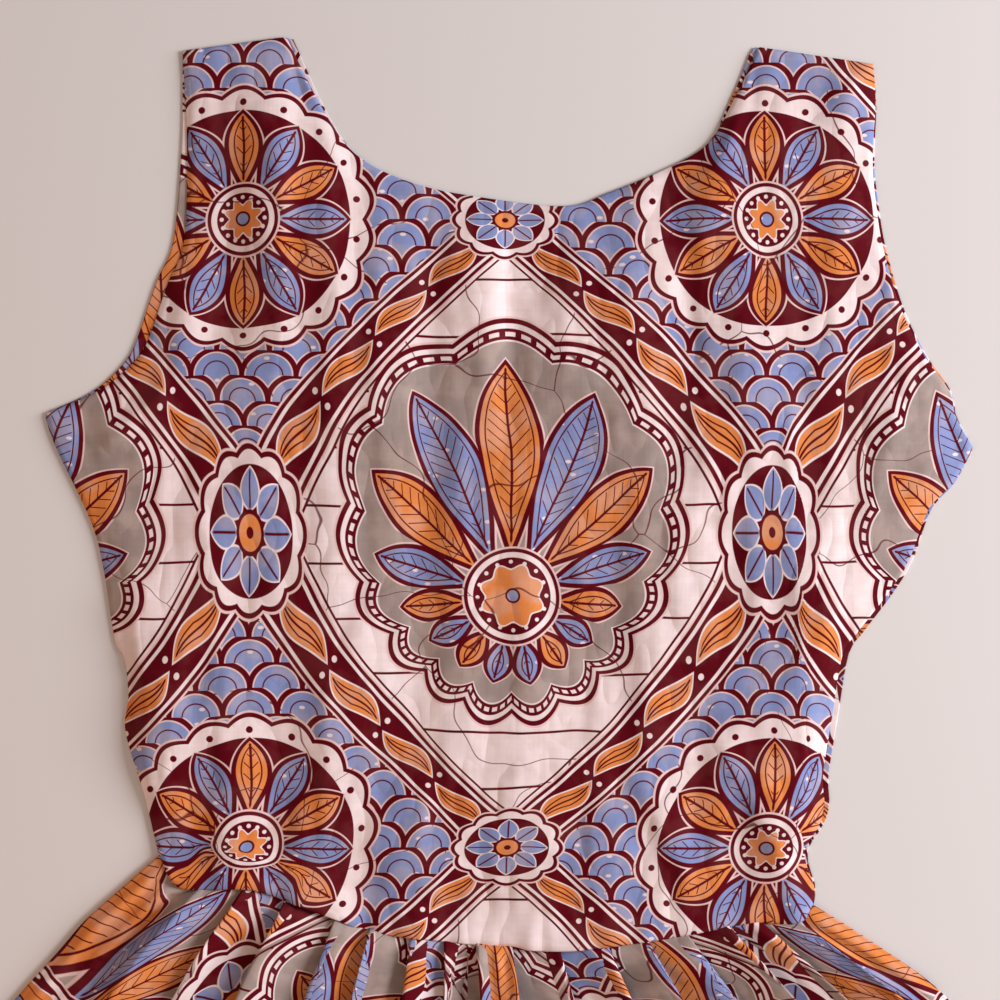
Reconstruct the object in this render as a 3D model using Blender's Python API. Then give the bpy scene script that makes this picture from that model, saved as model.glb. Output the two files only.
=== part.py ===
"""Sleeveless wax-print dress with a scoop neck and a full pleated skirt, laid flat and face up.

Four cut pieces are modelled: bodice front and back, skirt front and back. Each is a cloth wall of
its own, and pieces that are sewn together keep a small gap at the seam. +Y runs from the hem to
the shoulders, +Z is up from the surface that the dress lies on, and X is 0 at the middle of the
hem. The tables are in millimetres, everything else is in metres.
"""

import math

import bmesh
import bpy
from mathutils import Vector

MM = 0.001
DRESS_LENGTH = 1.000
HEM_WIDTH = 0.900
HEM_SIDE_RISE = 0.108
HEM_ROUNDNESS = 2.2
WALL = 0.0012
SEAM_GAP = 0.0003

# Pleats that cross the waist seam at a slant need this much more room at its ends.
OBLIQUE_DROP = 0.0005

# How far the back panel shows past the front one at the neck, the armholes and the right side.
NECK_PEEK = 0.0030
LEFT_ARMHOLE_PEEK = 0.0060
RIGHT_ARMHOLE_PEEK = 0.0015
RIGHT_SIDE_PEEK = 0.0030

# The share of a panel's top that one strap takes, and of its side edge below the underarm.
LEFT_STRAP_SHARE = 0.15
RIGHT_STRAP_SHARE = 0.167
UNDERARM_SHARE = 0.54

# Faces across a strap, across the neck, up the side seam and up the armhole.
BODICE_FACES = (6, 22, 13, 11)

# How the bodice front lies: it swells a little between its edges, and rises to the waist seam.
CROWN = 0.0020
CROWN_REACH = 0.050
WAIST_RISE = 0.0015
WAIST_RISE_REACH = 0.018

# Skirt pleats: height of a fold and how far it laps over its neighbour, down the skirt.
# Columns: share of the length below the waist, height in mm, lap in mm.
PLEAT_ROWS = (
    (0.00, 5.0, 4.6),
    (0.05, 6.6, 6.2),
    (0.16, 8.0, 6.0),
    (0.36, 8.8, 4.4),
    (0.65, 9.5, 2.5),
    (1.00, 11.0, 2.0),
)
PLEAT_FALL = 0.12
PLEAT_COLUMNS = (-0.12, -0.05, 0.0, 0.05, 0.12, 0.5)
LEAST_COLUMN = 0.0016
PLEAT_UNEVENNESS = 0.18
PLEAT_TURN = 2.4
BOX_PLEAT_START = 0.80
LAST_PLEAT_REACH = 0.45
SIDE_SETTLE = 0.05
SKIRT_ROWS = 12
SKIRT_ROW_GROWTH = 1.35

# Distance of each pleat's edge from the middle of the centre box pleat, along the waist, in mm.
LEFT_PLEATS = (9.0, 24.5, 41.0, 61.0, 78.0, 103.0, 124.0, 143.5)
RIGHT_PLEATS = (9.0, 32.0, 55.0, 74.0, 93.0, 113.0, 129.0, 146.0)
BOX_PLEAT_X = -6.7

# Edges of the laid bodice, in mm. Columns: x, y.
WAIST_SEAM = (
    (-165.6, 106.4),
    (-157.0, 93.2),
    (-143.0, 91.8),
    (-126.0, 92.0),
    (-113.8, 89.6),
    (-82.6, 78.1),
    (-65.8, 71.6),
    (-27.0, 66.6),
    (19.2, 62.4),
    (48.5, 64.2),
    (82.6, 69.0),
    (105.6, 73.6),
    (120.0, 75.2),
    (140.6, 75.9),
    (147.8, 82.4),
)
LEFT_SIDE = (
    (-165.6, 106.4),
    (-172.8, 136.2),
    (-181.9, 166.9),
    (-180.5, 184.0),
    (-182.5, 202.0),
    (-187.2, 212.0),
    (-192.5, 245.1),
    (-198.7, 268.2),
    (-215.5, 303.7),
    (-220.8, 319.5),
)
RIGHT_SIDE = (
    (147.8, 82.4),
    (148.3, 92.0),
    (143.6, 108.8),
    (150.6, 122.0),
    (153.1, 131.8),
    (152.4, 146.0),
    (156.5, 172.6),
    (161.8, 203.8),
    (168.5, 213.9),
    (183.8, 233.6),
    (193.9, 249.9),
    (203.0, 273.4),
    (214.6, 285.9),
    (224.6, 302.7),
)
LEFT_ARMHOLE = (
    (-220.8, 319.5),
    (-195.4, 330.1),
    (-179.5, 342.6),
    (-171.8, 353.1),
    (-161.8, 381.4),
    (-154.6, 398.2),
    (-152.6, 422.2),
    (-152.6, 455.8),
    (-154.6, 493.3),
)
RIGHT_ARMHOLE = (
    (224.6, 302.7),
    (216.0, 318.1),
    (213.1, 330.1),
    (200.6, 347.8),
    (189.6, 370.4),
    (181.4, 398.2),
    (178.1, 417.9),
    (176.2, 440.0),
    (177.6, 468.3),
    (176.6, 487.0),
)
NECKLINE = (
    (-105.1, 500.0),
    (-86.4, 463.5),
    (-70.6, 442.9),
    (-45.6, 430.4),
    (-15.4, 423.7),
    (28.3, 418.9),
    (50.4, 425.6),
    (73.4, 435.2),
    (97.0, 448.6),
    (111.4, 473.1),
    (121.4, 495.2),
)

# Side edges of the laid skirt from the waist to the hem, in mm. Columns: x, y.
LEFT_SKIRT_SIDE = (
    (-165.6, 106.4),
    (-181.0, 94.4),
    (-200.6, 77.1),
    (-213.6, 62.2),
    (-235.2, 38.2),
    (-262.0, 5.0),
    (-305.0, -62.0),
    (-350.0, -140.0),
    (-395.0, -232.0),
    (-430.0, -318.0),
    (-450.0, -392.0),
)
RIGHT_SKIRT_SIDE = (
    (147.8, 82.4),
    (163.7, 74.2),
    (184.8, 60.3),
    (202.6, 47.8),
    (218.0, 33.0),
    (248.0, 0.0),
    (294.0, -64.0),
    (343.0, -142.0),
    (390.0, -234.0),
    (428.0, -320.0),
    (450.0, -392.0),
)

# Largest folds of the bodice front, in mm. A trough has a height below 0.
# Columns: x and y of one end, x and y of the other end, half width, height.
BODICE_FOLDS = (
    (-177.0, 246.0, -172.0, 150.0, 8.0, 2.0),
    (-106.0, 468.0, -108.0, 330.0, 12.0, -1.4),
    (-148.0, 244.0, -166.0, 128.0, 7.0, 1.2),
    (-144.0, 111.0, -98.0, 101.0, 5.0, 1.8),
    (0.0, 420.0, 3.0, 330.0, 10.0, -1.4),
    (134.0, 330.0, 146.0, 130.0, 9.0, 2.0),
    (98.0, 168.0, 138.0, 92.0, 8.0, 1.8),
    (56.0, 150.0, 92.0, 84.0, 9.0, 1.4),
    (176.0, 268.0, 190.0, 330.0, 10.0, 1.6),
    (-196.0, 300.0, -160.0, 330.0, 9.0, 1.5),
)

# Colour of each piece as light and rough as its printed cotton looks, in linear red, green, blue.
BODICE_FRONT_COLOUR = (0.420, 0.240, 0.265)
BODICE_BACK_COLOUR = (0.390, 0.230, 0.250)
SKIRT_FRONT_COLOUR = (0.290, 0.190, 0.195)
SKIRT_BACK_COLOUR = (0.270, 0.180, 0.185)
CLOTH_ROUGHNESS = 0.82


def smooth(share):
    """Ease from 0 to 1 as share goes from 0 to 1, and hold the ends."""
    held = min(max(share, 0.0), 1.0)
    return held * held * (3.0 - 2.0 * held)


def mix(first, second, share):
    """Go in a straight line from first to second."""
    return first + (second - first) * share


def read(table, key):
    """Value at a key in a table of (key, value) rows, in a straight line between rows."""
    for (first, start), (second, end) in zip(table, table[1:]):
        if key <= second:
            return mix(start, end, (key - first) / (second - first))
    return table[-1][1]


def shares(*counts_and_widths):
    """Shares from 0 to 1 in stretches, each with its own count of faces and its own width."""
    found, start = [0.0], 0.0
    for count, width in counts_and_widths:
        found += [start + width * step / count for step in range(1, count + 1)]
        start += width
    return found


def bodice_shares():
    """Shares across and up a bodice panel, one for each line of its mesh."""
    strap, neck, side, armhole = BODICE_FACES
    neck_share = 1.0 - LEFT_STRAP_SHARE - RIGHT_STRAP_SHARE
    across = shares((strap, LEFT_STRAP_SHARE), (neck, neck_share), (strap, RIGHT_STRAP_SHARE))
    return across, shares((side, UNDERARM_SHARE), (armhole, 1.0 - UNDERARM_SHARE))


class Edge:
    """A smooth curve through points in millimetres, read by its share of the length in metres."""

    STEPS = 12

    def __init__(self, points):
        knots = [Vector(point) * MM for point in points]
        knots = [knots[0] * 2.0 - knots[1], *knots, knots[-1] * 2.0 - knots[-2]]
        self.points = [knots[1]]
        for start in range(1, len(knots) - 2):
            for step in range(1, self.STEPS + 1):
                self.points.append(self.between(knots[start - 1 : start + 3], step / self.STEPS))
        lengths = [0.0]
        for first, second in zip(self.points, self.points[1:]):
            lengths.append(lengths[-1] + (second - first).length)
        self.length = lengths[-1]
        self.shares = [length / self.length for length in lengths]

    @staticmethod
    def between(knots, share):
        """Point of a Catmull-Rom curve between the second and third of four knots."""
        before, first, second, after = knots
        straight = (second - before) * share
        bend = (before * 2.0 - first * 5.0 + second * 4.0 - after) * share**2
        twist = (first * 3.0 - before - second * 3.0 + after) * share**3
        return first + (straight + bend + twist) * 0.5

    def at(self, share):
        """Point at this share of the curve's length."""
        wanted = min(max(share, 0.0), 1.0)
        last = len(self.points) - 1
        index = next((i for i in range(last) if self.shares[i + 1] >= wanted), last - 1)
        span = self.shares[index + 1] - self.shares[index]
        return mix(self.points[index], self.points[index + 1], (wanted - self.shares[index]) / span)


class Seam(Edge):
    """Straight stitches between points in metres, each at a share of its own."""

    def __init__(self, points, at_shares):
        self.points, self.shares = points, at_shares


class Chain:
    """Edges joined end to end, each taking its own share of the whole."""

    def __init__(self, *parts):
        self.parts = parts

    def at(self, share):
        """Point at this share of the chain."""
        start = 0.0
        for edge, width in self.parts[:-1]:
            if share <= start + width:
                return edge.at((share - start) / width)
            start += width
        edge, width = self.parts[-1]
        return edge.at((share - start) / width)


class Panel:
    """A panel stretched between its four edges, each read by a share from 0 to 1."""

    def __init__(self, bottom, right, top, left):
        self.bottom, self.right, self.top, self.left = bottom, right, top, left

    def at(self, across, up):
        """Point of the panel on the surface, in metres."""
        rows = mix(self.bottom.at(across), self.top.at(across), up)
        columns = mix(self.left.at(up), self.right.at(up), across)
        low = mix(self.bottom.at(0.0), self.bottom.at(1.0), across)
        high = mix(self.top.at(0.0), self.top.at(1.0), across)
        return rows + columns - mix(low, high, up)


def moved(points, shift):
    """Points of a table moved by what shift gives for each one's place in the table."""
    last = len(points) - 1
    return [tuple(Vector(point) + shift(Vector(point), i / last)) for i, point in enumerate(points)]


def waist_seam(drop, side_drop=0.0):
    """Waist seam through the bodice's columns, moved down by drop, and by more at its ends."""
    curve = Edge(WAIST_SEAM)
    across = bodice_shares()[0]
    points = [curve.at(share) for share in across]
    ends = len(points) - 1
    lowered = []
    for i, point in enumerate(points):
        along = (points[min(i + 1, ends)] - points[max(i - 1, 0)]).normalized()
        from_middle = abs(2.0 * across[i] - 1.0)
        lowered.append(point + Vector((along.y, -along.x)) * (drop + side_drop * from_middle))
    return Seam(lowered, across)


def bodice_panel(left_armhole, right_armhole, right_side, neckline):
    """Bodice panel inside its side seams, armholes, shoulder seams, neckline and waist seam."""
    left_shoulder = Edge((left_armhole[-1], neckline[0]))
    right_shoulder = Edge((neckline[-1], right_armhole[-1]))
    neck_share = 1.0 - LEFT_STRAP_SHARE - RIGHT_STRAP_SHARE
    top = Chain(
        (left_shoulder, LEFT_STRAP_SHARE),
        (Edge(neckline), neck_share),
        (right_shoulder, RIGHT_STRAP_SHARE),
    )
    over_arm = 1.0 - UNDERARM_SHARE
    left = Chain((Edge(LEFT_SIDE), UNDERARM_SHARE), (Edge(left_armhole), over_arm))
    right = Chain((Edge(right_side), UNDERARM_SHARE), (Edge(right_armhole), over_arm))
    return Panel(waist_seam(0.0), right, top, left)


def front_panel():
    """Bodice front as it lies."""
    return bodice_panel(LEFT_ARMHOLE, RIGHT_ARMHOLE, RIGHT_SIDE, NECKLINE)


def back_panel():
    """Bodice back, which shows a few millimetres past the front."""
    neck_low = min(y for _, y in NECKLINE)
    neck_rise = NECKLINE[0][1] - neck_low

    def into_neck(point, _):
        height = (point.y - neck_low) / neck_rise
        return Vector((-math.copysign(NECK_PEEK / MM * height, point.x), (height - 1.0) * 1.5))

    def past_edge(peek):
        return lambda _, share: Vector((peek / MM * math.sin(math.pi * share), 0.0))

    return bodice_panel(
        moved(LEFT_ARMHOLE, past_edge(-LEFT_ARMHOLE_PEEK)),
        moved(RIGHT_ARMHOLE, past_edge(RIGHT_ARMHOLE_PEEK)),
        moved(RIGHT_SIDE, past_edge(RIGHT_SIDE_PEEK)),
        moved(NECKLINE, into_neck),
    )


def hem_edge():
    """Hem of the laid skirt, lowest at the middle and symmetric about it."""
    half_width, half_length, rise = HEM_WIDTH / 2 / MM, DRESS_LENGTH / 2 / MM, HEM_SIDE_RISE / MM
    steps = 12
    points = []
    for step in range(-steps, steps + 1):
        share = step / steps
        points.append((half_width * share, rise * abs(share) ** HEM_ROUNDNESS - half_length))
    return Edge(points)


def skirt_panel(side_drop):
    """Skirt panel between the waist seam, its side seams and the hem. Its top is the waist."""
    waist = waist_seam(SEAM_GAP, side_drop)
    left = Edge([waist.points[0] / MM, *LEFT_SKIRT_SIDE[1:]])
    right = Edge([waist.points[-1] / MM, *RIGHT_SKIRT_SIDE[1:]])
    # Read from the waist down, so the waist is this panel's bottom edge and the hem its top edge.
    return Panel(waist, right, hem_edge(), left)


def fold_height(x, y):
    """Height that the bodice's largest folds add at a point, in metres."""
    total = 0.0
    for x0, y0, x1, y1, half_width, height in BODICE_FOLDS:
        start, along = Vector((x0, y0)) * MM, Vector((x1 - x0, y1 - y0)) * MM
        place = Vector((x, y)) - start
        share = place.dot(along) / along.length_squared
        off = (place - along * min(max(share, 0.0), 1.0)).length / (half_width * MM)
        total += height * MM * math.exp(-off * off)
    return total


def cloth(name, across, up, place, colour):
    """One cloth piece: a grid over the shares across and up, placed by a function, with a wall."""
    bm = bmesh.new()
    columns, rows = len(across) - 1, len(up) - 1
    bmesh.ops.create_grid(bm, x_segments=columns, y_segments=rows, size=1.0)
    for vert in bm.verts:
        column = round((vert.co.x + 1.0) / 2.0 * columns)
        row = round((vert.co.y + 1.0) / 2.0 * rows)
        vert.co = place(across[column], up[row])
    bmesh.ops.recalc_face_normals(bm, faces=bm.faces)
    if sum(face.normal.z for face in bm.faces) < 0.0:
        bmesh.ops.reverse_faces(bm, faces=bm.faces)
    mesh = bpy.data.meshes.new(name)
    bm.to_mesh(mesh)
    bm.free()
    mesh.shade_smooth()
    obj = bpy.data.objects.new(name, mesh)
    bpy.context.scene.collection.objects.link(obj)
    wall = obj.modifiers.new("wall", "SOLIDIFY")
    wall.thickness = WALL
    wall.offset = 0.0
    material = bpy.data.materials.new(name + "_printed_cotton")
    material.use_nodes = True
    shader = material.node_tree.nodes["Principled BSDF"]
    shader.inputs["Base Color"].default_value = (*colour, 1.0)
    shader.inputs["Roughness"].default_value = CLOTH_ROUGHNESS
    shader.inputs["Metallic"].default_value = 0.0
    mesh.materials.append(material)
    return obj


def make_bodice():
    """Bodice front and back, one lying on the other."""
    front, back = front_panel(), back_panel()
    low = WALL * 1.5 + SEAM_GAP

    def front_place(across, up):
        point = front.at(across, up)
        edges = (front.at(0.0, up), front.at(1.0, up), front.at(across, 1.0))
        edge_gap = min((point - edge).length for edge in edges)
        swell = smooth(edge_gap / CROWN_REACH)
        above_waist = (point - front.at(across, 0.0)).length
        waist = WAIST_RISE * (1.0 - smooth(above_waist / WAIST_RISE_REACH))
        from_sides = smooth(min(across, 1.0 - across) / SIDE_SETTLE)
        lift = swell * (CROWN * smooth(above_waist / CROWN_REACH) + fold_height(*point))
        return Vector((*point, low + lift + waist * from_sides))

    cloth("bodice_front", *bodice_shares(), front_place, BODICE_FRONT_COLOUR)
    cloth(
        "bodice_back",
        *bodice_shares(),
        lambda across, up: Vector((*back.at(across, up), WALL / 2)),
        BODICE_BACK_COLOUR,
    )


def pleat_profile(phase):
    """Height of a pleat from 0 to 1: it rises slowly outwards and falls fast at each whole phase."""
    part = (phase + PLEAT_FALL) % 1.0
    if part < 2.0 * PLEAT_FALL:
        return 1.0 - smooth(part / (2.0 * PLEAT_FALL))
    return smooth((part - 2.0 * PLEAT_FALL) / (1.0 - 2.0 * PLEAT_FALL))


def pleat_knots(edges, half_waist):
    """Phase and distance along the waist of the box pleat's middle, each pleat's edge and the side."""
    knots = [(BOX_PLEAT_START, 0.0)]
    knots += [(i + 1.0, edge * MM) for i, edge in enumerate(edges)]
    return [*knots, (len(edges) + LAST_PLEAT_REACH, half_waist)]


def pleat_columns(edges, side, middle, curve):
    """Mesh columns of one half of the skirt front: phase, share of the waist, share of the hem."""
    knots = pleat_knots(edges, middle if side < 0.0 else curve.length - middle)
    turned = [(distance, phase) for phase, distance in knots]
    last = knots[-1][0]
    distances = [
        read(knots, pleat + column)
        for pleat in range(1, len(edges) + 1)
        for column in PLEAT_COLUMNS
        if pleat + column < last
    ]
    for share in bodice_shares()[0]:
        distance = side * (share * curve.length - middle)
        if distance > 0.0 and min(abs(distance - other) for other in distances) > LEAST_COLUMN:
            distances.append(distance)
    columns = []
    for distance in sorted(distances):
        phase = read(turned, distance)
        spread = (phase - BOX_PLEAT_START) / (last - BOX_PLEAT_START)
        at_waist = (middle + side * distance) / curve.length
        columns.append((side * phase, at_waist, (1.0 + side * spread) / 2.0))
    return columns


def skirt_rows():
    """Shares down the skirt, closer together near the waist."""
    return [(row / SKIRT_ROWS) ** SKIRT_ROW_GROWTH for row in range(SKIRT_ROWS + 1)]


def make_skirt():
    """Skirt front with its pleats, lying on the flat skirt back."""
    panel = skirt_panel(OBLIQUE_DROP)
    back = skirt_panel(0.0)
    curve = Edge(WAIST_SEAM)
    middle = curve.length * next(
        share for point, share in zip(curve.points, curve.shares) if point.x >= BOX_PLEAT_X * MM
    )
    centre = (BOX_PLEAT_START, middle / curve.length, 0.5)
    left = pleat_columns(LEFT_PLEATS, -1.0, middle, curve)
    right = pleat_columns(RIGHT_PLEATS, 1.0, middle, curve)
    columns = [*reversed(left), centre, *right]
    heights = [(down, height * MM) for down, height, _ in PLEAT_ROWS]
    laps = [(down, lap * MM) for down, _, lap in PLEAT_ROWS]

    def front_place(column, down):
        phase, at_waist, at_hem = column
        across = mix(at_waist, at_hem, 2.0 * smooth(down / 2.0))
        pleat = math.copysign(math.floor(abs(phase) - PLEAT_FALL), phase)
        uneven = 1.0 + PLEAT_UNEVENNESS * math.sin(PLEAT_TURN * pleat)
        height, lap = read(heights, down) * uneven, read(laps, down) * uneven
        settle = smooth(min(at_hem, 1.0 - at_hem) / SIDE_SETTLE)
        profile = pleat_profile(abs(phase))
        row_width = (panel.right.at(down) - panel.left.at(down)).length
        lean = lap * (profile - 0.5) * settle / row_width
        lean = 0.0 if column == centre else math.copysign(lean, lean * phase)
        point = panel.at(across + lean, down)
        return Vector((*point, WALL * 1.5 + SEAM_GAP + height * profile * settle))

    cloth("skirt_front", columns, skirt_rows(), front_place, SKIRT_FRONT_COLOUR)
    cloth(
        "skirt_back",
        bodice_shares()[0],
        skirt_rows(),
        lambda across, down: Vector((*back.at(across, down), WALL / 2)),
        SKIRT_BACK_COLOUR,
    )


def main():
    """Clear the scene and lay the dress out."""
    for obj in list(bpy.data.objects):
        bpy.data.objects.remove(obj)
    make_bodice()
    make_skirt()


main()
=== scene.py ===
"""Looks of the sleeveless wax-print dress that lies flat and face up.

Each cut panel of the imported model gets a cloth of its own: a thin woven sheet on the same edges,
with the creases of the laid bodice and the pressed pleats of the skirt, and a printed finish that
follows the cloth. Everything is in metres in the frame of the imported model: +Y runs from the hem
to the shoulders, +Z is up from the surface that the dress lies on. Sizes in fields and tables are
in millimetres where nothing else is said.
"""

import logging
import math
from bisect import bisect_left
from collections.abc import Callable, Sequence
from dataclasses import dataclass
from enum import Enum
from functools import cache
from typing import TypeVar

import bmesh
import bpy
from mathutils import Matrix, Vector, noise


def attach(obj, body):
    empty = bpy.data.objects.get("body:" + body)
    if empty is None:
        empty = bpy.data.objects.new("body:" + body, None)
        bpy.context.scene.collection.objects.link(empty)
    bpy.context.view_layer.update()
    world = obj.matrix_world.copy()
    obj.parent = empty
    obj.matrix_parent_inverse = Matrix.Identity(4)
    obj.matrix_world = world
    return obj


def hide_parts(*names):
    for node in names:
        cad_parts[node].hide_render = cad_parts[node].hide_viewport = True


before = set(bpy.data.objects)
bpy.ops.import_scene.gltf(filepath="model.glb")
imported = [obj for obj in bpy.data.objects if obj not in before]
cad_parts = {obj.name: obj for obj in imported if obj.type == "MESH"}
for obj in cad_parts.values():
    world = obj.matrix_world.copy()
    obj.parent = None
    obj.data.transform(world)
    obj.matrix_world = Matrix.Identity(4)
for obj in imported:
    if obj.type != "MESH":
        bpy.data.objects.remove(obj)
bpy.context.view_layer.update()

LOG = logging.getLogger("wax_print_dress")
MM = 0.001
BODY = "root"
CLOTH_MAP = "cloth"
MATH = "ShaderNodeMath"
VECTOR_MATH = "ShaderNodeVectorMath"

Row = tuple[float, ...]
Table = tuple[Row, ...]
Blend = TypeVar("Blend", float, Vector)
Setting = "float | Row | Value | bpy.types.NodeSocket"


def smooth(share: float) -> float:
    """Ease from 0 to 1 as share goes from 0 to 1, and hold the ends."""
    held = min(max(share, 0.0), 1.0)
    return held * held * (3.0 - 2.0 * held)


def mix(first: Blend, second: Blend, share: float) -> Blend:
    """Go in a straight line from first to second, which are numbers or vectors."""
    return first + (second - first) * share


def read(table: Table, key: float) -> float:
    """Value at a key in a table of (key, value) rows.

    Args:
        table: rows of a key and its value, with the keys rising.
        key: where to read.

    Returns:
        The value in a straight line between rows, held past the last row.
    """
    for (first, start), (second, end) in zip(table, table[1:]):
        if key <= second:
            return mix(start, end, max(key - first, 0.0) / (second - first))
    return table[-1][1]


def linear_colour(code: str) -> Row:
    """Turn an sRGB hex colour into linear red, green, blue and a full alpha.

    Args:
        code: six hex digits.

    Returns:
        The colour as a shader's socket takes it.
    """
    parts = [int(code[i : i + 2], 16) / 255.0 for i in (0, 2, 4)]
    linear = [c / 12.92 if c <= 0.04045 else ((c + 0.055) / 1.055) ** 2.4 for c in parts]
    return (*linear, 1.0)


def add_node(
    tree: bpy.types.NodeTree,
    kind: str,
    inputs: "dict[int | str, Setting] | None" = None,
    output: int | str = 0,
    **settings: object,
) -> bpy.types.NodeSocket:
    """Add a node with its settings and its links.

    Args:
        tree: the material's or world's node tree.
        kind: the node's type name.
        inputs: values and links by the input's name or place.
        output: name or place of the output that is wanted.
        **settings: the node's own settings.

    Returns:
        The wanted output socket.
    """
    node = tree.nodes.new(kind)
    for name, value in settings.items():
        setattr(node, name, value)
    for key, value in (inputs or {}).items():
        source = value.socket if isinstance(value, Value) else value
        if isinstance(source, bpy.types.NodeSocket):
            tree.links.new(source, node.inputs[key])
        else:
            node.inputs[key].default_value = source
    return node.outputs[output]


class Value:
    """A number, place or colour that varies over the cloth. Arithmetic on it adds nodes."""

    def __init__(self, tree: bpy.types.NodeTree, socket: bpy.types.NodeSocket) -> None:
        """Keep the node tree and the socket that gives the value."""
        self.tree, self.socket = tree, socket

    def apply(
        self, kind: str, *others: Setting, output: int | str = 0, **settings: object
    ) -> "Value":
        """Put this value and others, in their order, into a node.

        Args:
            kind: the node's type name.
            *others: values of the inputs after the first.
            output: name or place of the output that is wanted.
            **settings: the node's own settings.

        Returns:
            What the node gives.
        """
        inputs = dict(enumerate((self, *others)))
        return Value(self.tree, add_node(self.tree, kind, inputs, output, **settings))

    def __add__(self, other: "Value | float") -> "Value":
        """Add another number."""
        return self.apply(MATH, other, operation="ADD")

    def __sub__(self, other: "Value | float") -> "Value":
        """Take another number away."""
        return self.apply(MATH, other, operation="SUBTRACT")

    def __rsub__(self, other: float) -> "Value":
        """Take this number away from a constant."""
        return self.apply(MATH, -1.0, other, operation="MULTIPLY_ADD")

    def __mul__(self, other: "Value | float") -> "Value":
        """Multiply by another number."""
        return self.apply(MATH, other, operation="MULTIPLY")

    def __truediv__(self, other: "Value | float") -> "Value":
        """Divide by another number."""
        return self.apply(MATH, other, operation="DIVIDE")

    def __abs__(self) -> "Value":
        """Drop the sign."""
        return self.apply(MATH, operation="ABSOLUTE")

    __radd__, __rmul__ = __add__, __mul__

    def centred(self, period: float) -> "Value":
        """Distance from the nearest middle of a repeat of this period."""
        return ((self / period).apply(MATH, operation="FRACT") - 0.5) * period

    def distance(self, other: "Value | float") -> "Value":
        """Length of the arrow that has these two numbers as its sides."""
        arrow = self.apply("ShaderNodeCombineXYZ", other)
        return arrow.apply(VECTOR_MATH, output="Value", operation="LENGTH")

    def under(self, limit: float, soft: float = 0.3) -> "Value":
        """Mask that is 1 where this number is under a limit, with an edge of the given softness."""
        return self.apply("ShaderNodeMapRange", limit + soft / 2.0, limit - soft / 2.0)


class Edge:
    """A smooth curve through points in millimetres, read by its share of the length in metres."""

    STEPS = 24

    def __init__(self, points: Sequence[Row]) -> None:
        """Run a Catmull-Rom curve through the points and measure it.

        Args:
            points: places that the curve goes through, from its start to its end.
        """
        knots = [Vector(point) * MM for point in points]
        knots = [knots[0] * 2.0 - knots[1], *knots, knots[-1] * 2.0 - knots[-2]]
        self.points = [knots[1]]
        for start in range(1, len(knots) - 2):
            for step in range(1, self.STEPS + 1):
                self.points.append(self.between(knots[start - 1 : start + 3], step / self.STEPS))
        lengths = [0.0]
        for first, second in zip(self.points, self.points[1:]):
            lengths.append(lengths[-1] + (second - first).length)
        self.length = lengths[-1]
        self.shares = [length / self.length for length in lengths]

    @staticmethod
    def between(knots: Sequence[Vector], share: float) -> Vector:
        """Point of a Catmull-Rom curve between the middle two of four knots.

        Args:
            knots: four points in a row.
            share: share of the way from the second knot to the third.

        Returns:
            The point.
        """
        before, first, second, after = knots
        straight = (second - before) * share
        bend = (before * 2.0 - first * 5.0 + second * 4.0 - after) * share**2
        twist = (first * 3.0 - before - second * 3.0 + after) * share**3
        return first + (straight + bend + twist) * 0.5

    def at(self, share: float) -> Vector:
        """Point of the curve.

        Args:
            share: share of the curve's length.

        Returns:
            The point, in metres.
        """
        wanted = min(max(share, 0.0), 1.0)
        index = min(max(bisect_left(self.shares, wanted) - 1, 0), len(self.points) - 2)
        span = self.shares[index + 1] - self.shares[index]
        return mix(self.points[index], self.points[index + 1], (wanted - self.shares[index]) / span)


class Chain:
    """Edges joined end to end, each taking its own share of the whole."""

    def __init__(self, *parts: tuple[Edge, float]) -> None:
        """Keep the edges with their shares."""
        self.parts = parts

    def at(self, share: float) -> Vector:
        """Point of the chain.

        Args:
            share: share of the whole chain.

        Returns:
            The point, in metres.
        """
        start = 0.0
        for edge, width in self.parts[:-1]:
            if share <= start + width:
                return edge.at((share - start) / width)
            start += width
        edge, width = self.parts[-1]
        return edge.at((share - start) / width)


@dataclass(frozen=True)
class Outline:
    """A panel stretched between its four edges, each read by a share from 0 to 1."""

    bottom: Edge | Chain
    right: Edge | Chain
    top: Edge | Chain
    left: Edge | Chain

    def at(self, across: float, up: float) -> Vector:
        """Point of the panel on the surface.

        Args:
            across: share of the width from the left edge.
            up: share of the way from the bottom edge to the top edge.

        Returns:
            The point, in metres.
        """
        rows = mix(self.bottom.at(across), self.top.at(across), up)
        columns = mix(self.left.at(up), self.right.at(up), across)
        low = mix(self.bottom.at(0.0), self.bottom.at(1.0), across)
        high = mix(self.top.at(0.0), self.top.at(1.0), across)
        return rows + columns - mix(low, high, up)


class Ink(Enum):
    """Dyes of the print, as sRGB hex colours of the dry cloth."""

    BURGUNDY = "5B0010"
    ORANGE = "DF8647"
    BLUE = "8592C0"
    PALE = "EFDDDC"
    GREY = "9E8E87"
    HALO = "E8C6C2"


class Ground(Enum):
    """Colour of the plain ground between the motifs."""

    PALE = Ink.PALE
    GREY = Ink.GREY


class Polar:
    """Place around a point of the print: distance from it, and turn from straight up."""

    def __init__(self, x: Value, y: Value) -> None:
        """Turn the place across and up from the point into a distance and an angle."""
        self.radius, self.angle = x.distance(y), x.apply(MATH, y, operation="ARCTAN2")

    def aside(self, count: int) -> Value:
        """Distance along the circle to the nearest of so many even spokes."""
        spoke = (self.angle * (count / math.tau)).apply(MATH, operation="ROUND")
        return (spoke * (math.tau / count) - self.angle) * self.radius

    def lobes(self, count: int) -> Value:
        """Wave from 0 to 1 with so many round lobes and a cusp between each two."""
        return abs((self.angle * (count / 2.0)).apply(MATH, operation="COSINE"))


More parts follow.
